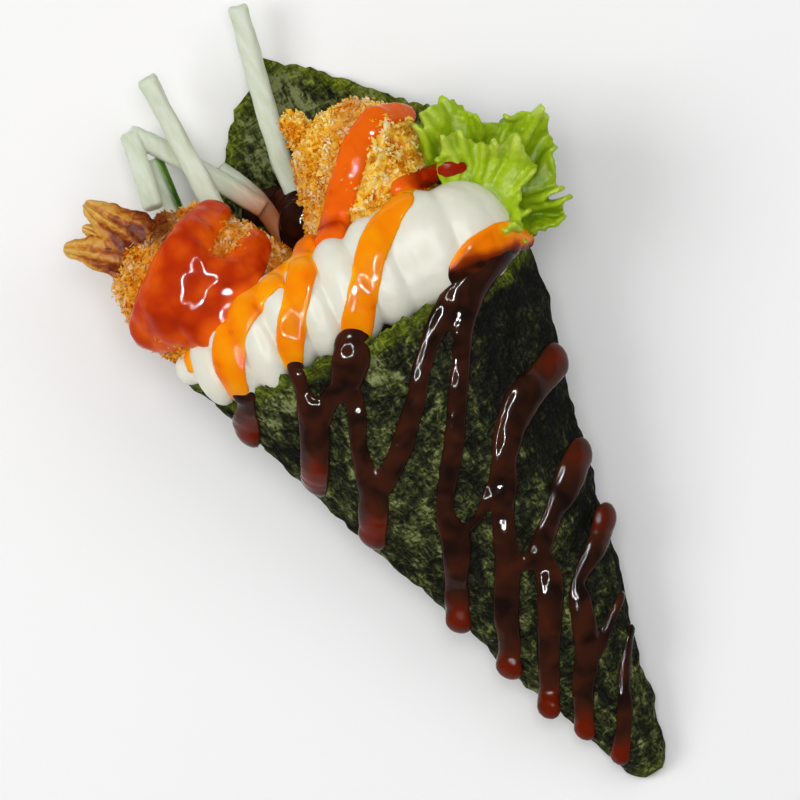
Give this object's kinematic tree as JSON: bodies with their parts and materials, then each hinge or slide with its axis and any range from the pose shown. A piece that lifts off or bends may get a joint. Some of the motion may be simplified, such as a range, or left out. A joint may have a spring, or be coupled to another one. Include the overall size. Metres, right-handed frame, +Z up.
{
  "type": "temaki hand roll",
  "caption": "Cone of seaweed lying on its back, filled with breaded prawns, cucumber sticks, lettuce and piped mayonnaise under sauces.",
  "frame": {"origin": "on the flat underside, below the cone's axis, 80 mm from the tip", "axes": "+Y from the tip to the mouth, +X to the right of the shown side, +Z up out of the shown side"},
  "size_m": [0.0923, 0.1665, 0.0446],
  "materials": {
    "nori": "roasted seaweed, dark green and black, slightly glossy",
    "cucumber": "wet pale green flesh with some dark green skin",
    "crust": "golden fried breadcrumbs",
    "mayonnaise": "smooth glossy cream",
    "lettuce": "frilly yellow-green leaf",
    "orange_sauce": "glossy orange chilli mayonnaise",
    "red_sauce": "glossy red chilli sauce",
    "dark_sauce": "glossy dark brown sweet soy sauce"
  },
  "bodies": {
    "root": {"nori_wrap": "nori", "cucumber_tall": "cucumber", "cucumber_bent": "cucumber", "cucumber_left": "cucumber", "cucumber_skin": "cucumber", "cucumber_short": "cucumber", "prawn_right": "crust", "prawn_left": "crust", "mayonnaise": "mayonnaise", "lettuce": "lettuce"}
  },
  "joints": []
}
